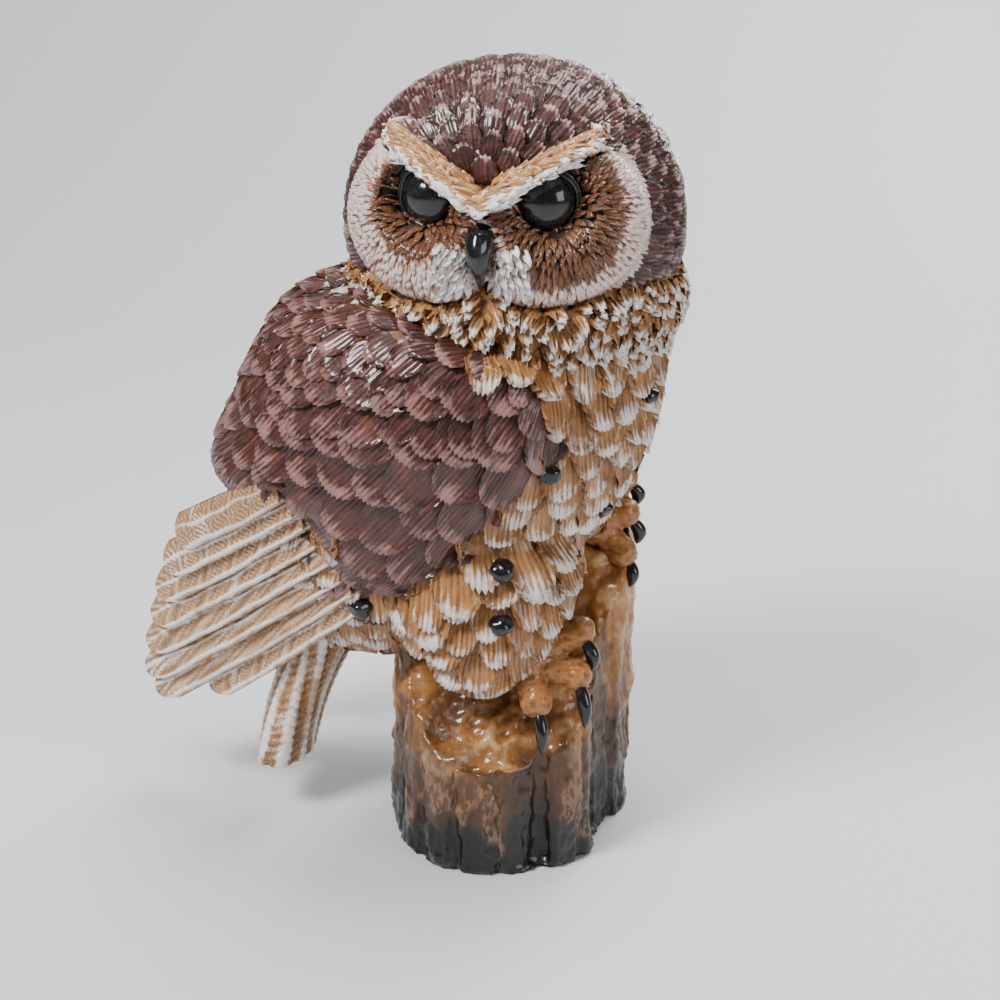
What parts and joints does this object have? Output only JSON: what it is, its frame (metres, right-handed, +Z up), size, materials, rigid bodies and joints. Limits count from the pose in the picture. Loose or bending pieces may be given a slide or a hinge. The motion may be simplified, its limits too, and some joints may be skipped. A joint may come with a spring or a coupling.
{
  "type": "owl figurine",
  "caption": "Perched owl figurine with the head turned over its shoulder, folded wings and a short tail, standing on a tree stump.",
  "frame": {"origin": "centre of the stump's flat underside", "axes": "+Z up from the underside through the head, -Y towards the side the face looks to, +X the way the body is turned"},
  "size_m": [0.0965, 0.0641, 0.1362],
  "materials": {
    "brown_feather": "gloss",
    "tan_feather": "gloss",
    "face_feather": "gloss",
    "black_gloss": "gloss",
    "wood": "gloss"
  },
  "bodies": {
    "root": {"stump": "wood", "body": "tan_feather", "neck_ruff": "tan_feather", "head": "brown_feather", "right_facial_disc": "face_feather", "left_facial_disc": "face_feather", "brow": "tan_feather", "beak": "black_gloss", "tail": "tan_feather", "right_eye": "black_gloss", "right_eye_rim": "black_gloss", "right_shoulder_coverts": "brown_feather", "right_wing_coverts": "brown_feather", "right_thigh": "tan_feather", "right_foot": "wood", "right_flight_feather_1": "tan_feather", "right_flight_feather_2": "tan_feather", "right_flight_feather_3": "tan_feather", "right_flight_feather_4": "tan_feather", "right_flight_feather_5": "tan_feather", "right_flight_feather_6": "tan_feather", "right_flight_feather_7": "tan_feather", "right_flight_feather_8": "tan_feather", "right_claw_1": "black_gloss", "right_claw_2": "black_gloss", "right_claw_3": "black_gloss", "left_eye": "black_gloss", "left_eye_rim": "black_gloss", "left_shoulder_coverts": "brown_feather", "left_wing_coverts": "brown_feather", "left_thigh": "tan_feather", "left_foot": "wood", "left_flight_feather_1": "tan_feather", "left_flight_feather_2": "tan_feather", "left_flight_feather_3": "tan_feather", "left_flight_feather_4": "tan_feather", "left_flight_feather_5": "tan_feather", "left_flight_feather_6": "tan_feather", "left_flight_feather_7": "tan_feather", "left_flight_feather_8": "tan_feather", "left_claw_1": "black_gloss", "left_claw_2": "black_gloss", "left_claw_3": "black_gloss", "black_fleck_1": "black_gloss", "black_fleck_2": "black_gloss", "black_fleck_3": "black_gloss", "black_fleck_4": "black_gloss", "black_fleck_5": "black_gloss", "black_fleck_6": "black_gloss"}
  },
  "joints": []
}
